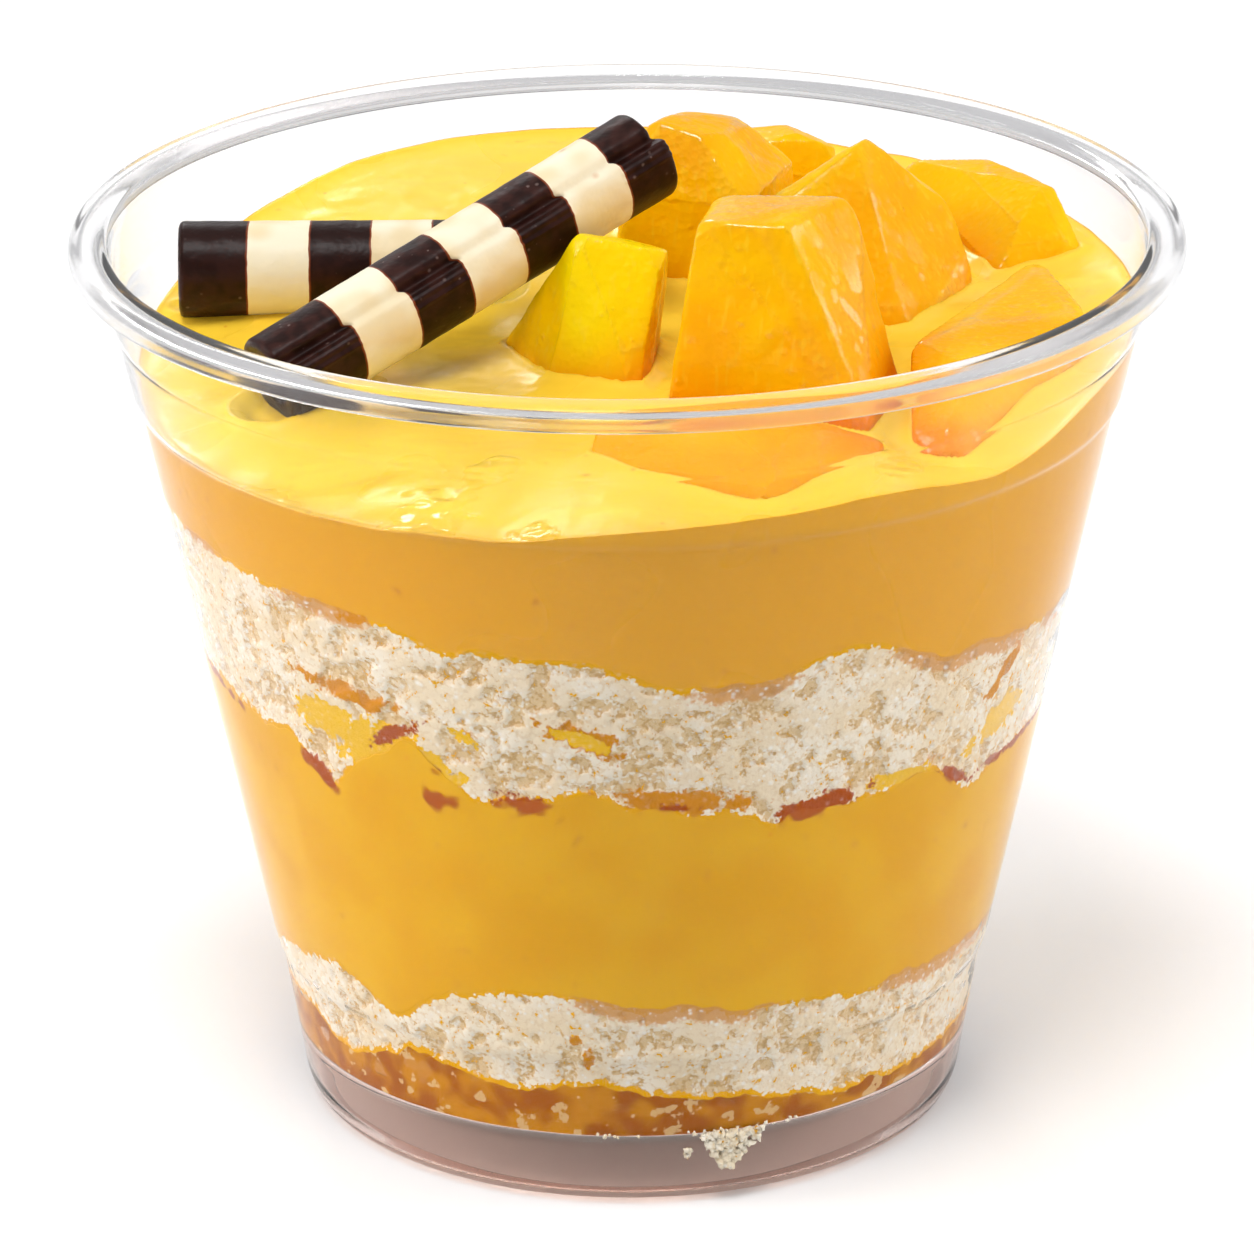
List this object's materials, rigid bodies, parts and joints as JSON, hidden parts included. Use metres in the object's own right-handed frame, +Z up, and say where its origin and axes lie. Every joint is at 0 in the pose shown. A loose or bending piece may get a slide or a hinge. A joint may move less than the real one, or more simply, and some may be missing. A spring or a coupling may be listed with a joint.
{
  "type": "layered mango cake in a clear cup",
  "caption": "Layers of mango cream and sponge cake in a clear tapered cup, topped with mango chunks and striped chocolate rolls.",
  "frame": {"origin": "middle of the foot, on the plane the cup stands on", "axes": "+Z up along the cup's axis, -Y towards the near side with the tallest mango chunk, +X to its right"},
  "size_m": [0.098, 0.098, 0.0897],
  "materials": {
    "clear_plastic": "clear, glossy and thin",
    "mango_cream": "smooth mango cream, satin with a wet top",
    "sponge_cake": "crumbly pale sponge cake, matt",
    "mango_flesh": "wet mango flesh, glossy",
    "striped_chocolate": "dark and white chocolate in broad bands, satin"
  },
  "bodies": {
    "root": {"cup": "clear_plastic", "cream_base": "mango_cream", "sponge_lower": "sponge_cake", "cream_middle": "mango_cream", "sponge_upper": "sponge_cake", "cream_top": "mango_cream", "mango_front": "mango_flesh", "mango_slice": "mango_flesh", "mango_left": "mango_flesh", "mango_center": "mango_flesh", "mango_right": "mango_flesh", "mango_back_right": "mango_flesh", "mango_back_left": "mango_flesh", "mango_back": "mango_flesh", "roll_front": "striped_chocolate", "roll_back": "striped_chocolate"}
  },
  "joints": []
}
